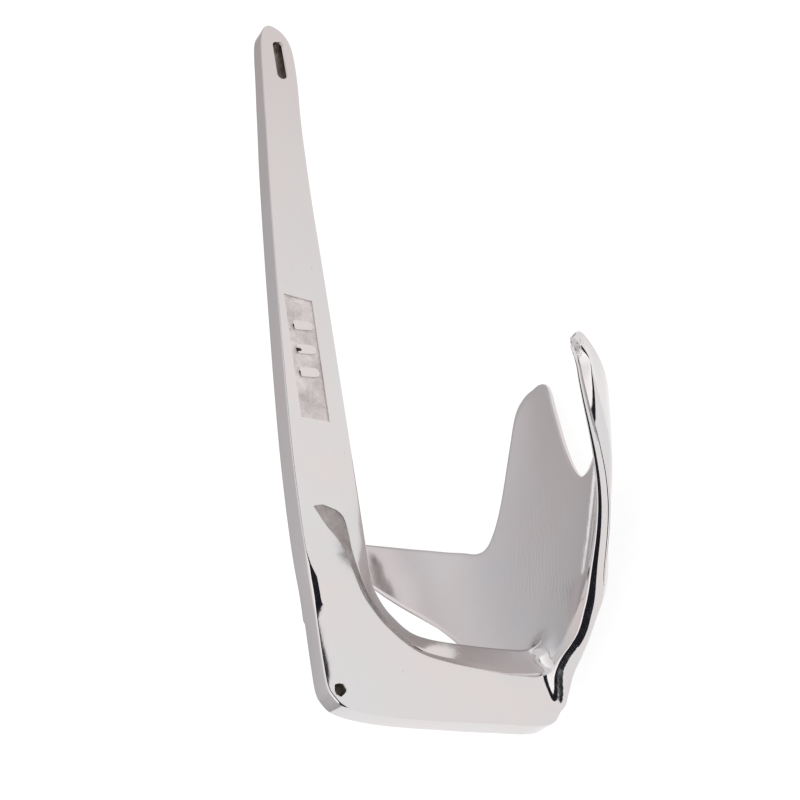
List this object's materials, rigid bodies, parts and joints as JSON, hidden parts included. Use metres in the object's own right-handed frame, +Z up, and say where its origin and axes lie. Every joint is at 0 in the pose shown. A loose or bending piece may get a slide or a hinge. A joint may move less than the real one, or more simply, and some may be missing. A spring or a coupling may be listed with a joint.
{
  "type": "boat anchor",
  "caption": "Small polished claw anchor: J-shaped shank with a slotted head, welded to a curved claw with a centre fluke and a side fluke each way.",
  "frame": {"origin": "on the floor under the middle of the bounding box, with the anchor resting on the back of its claw", "axes": "+X along the shank from its heel to its slotted head, +Z up from the back of the claw to the back of the shank, -Y towards the side with the panel"},
  "size_m": [0.2552, 0.1696, 0.1027],
  "materials": {
    "shank_steel": "polished cast stainless steel, as-cast grain left in the slot, panel, groove and heel hole",
    "claw_steel": "polished cast stainless steel with faint polishing ripples and small casting pits",
    "weld_steel": "ground and polished weld metal"
  },
  "bodies": {
    "root": {"shank": "shank_steel", "claw": "claw_steel", "weld_fillet_near": "weld_steel", "weld_fillet_far": "weld_steel"}
  },
  "joints": []
}
